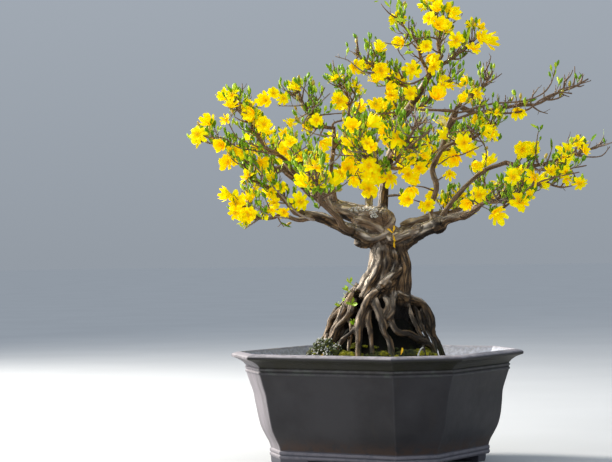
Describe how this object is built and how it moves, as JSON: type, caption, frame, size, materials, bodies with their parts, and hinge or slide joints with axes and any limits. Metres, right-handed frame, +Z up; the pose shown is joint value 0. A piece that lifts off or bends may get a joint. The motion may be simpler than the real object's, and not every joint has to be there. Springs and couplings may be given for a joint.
{
  "type": "apricot blossom bonsai in a clay pot",
  "caption": "Old flowering bonsai with exposed roots, spreading boughs and yellow blossom, growing in an eight-sided clay pot on low feet.",
  "frame": {"origin": "on the ground under the pot's feet, at the middle of the whole outline", "axes": "+Z up, +X to the right of the front view, +Y away from the viewer"},
  "size_m": [0.806, 0.5786, 0.8719],
  "materials": {
    "clay": "weathered unglazed clay, matt, dusty at the rim",
    "earth": "damp soil with moss and lichen",
    "bark": "rough grey-brown bark, pale on its upper edges",
    "blossom": "soft yellow petals with green buds on brown twigs"
  },
  "bodies": {
    "root": {"pot": "clay", "soil": "earth", "trunk": "bark", "trunk_leader": "bark", "bough_left_high": "bark", "bough_left_low": "bark", "bough_right": "bark", "bough_right_back": "bark", "bough_back": "bark", "bough_left_top": "bark", "bough_left_upright": "bark", "bough_up_mid": "bark", "bough_back_left": "bark", "bough_left_cross": "bark", "bough_left_skirt": "bark", "bough_front_left": "bark", "bough_right_up": "bark", "bough_right_mid": "bark", "bough_right_low": "bark", "bough_right_inner": "bark", "bough_right_upper": "bark", "bough_right_under": "bark", "blossom_left_tip": "blossom", "blossom_left_top": "blossom", "blossom_left_low": "blossom", "blossom_left_skirt": "blossom", "blossom_left_mid": "blossom", "blossom_front_left": "blossom", "blossom_left_crest": "blossom", "blossom_up_mid": "blossom", "blossom_mid_left": "blossom", "blossom_top_left": "blossom", "blossom_top_mid": "blossom", "blossom_apex": "blossom", "blossom_top_right": "blossom", "blossom_mid_right": "blossom", "blossom_mid_back": "blossom", "blossom_mid_front": "blossom", "blossom_front_right": "blossom", "blossom_back_right": "blossom", "blossom_back": "blossom", "blossom_back_left": "blossom", "blossom_right_back": "blossom", "blossom_right_inner": "blossom", "blossom_right_upper": "blossom", "blossom_right_top": "blossom", "blossom_right_mid": "blossom", "blossom_right_low": "blossom", "blossom_right_under": "blossom"}
  },
  "joints": []
}
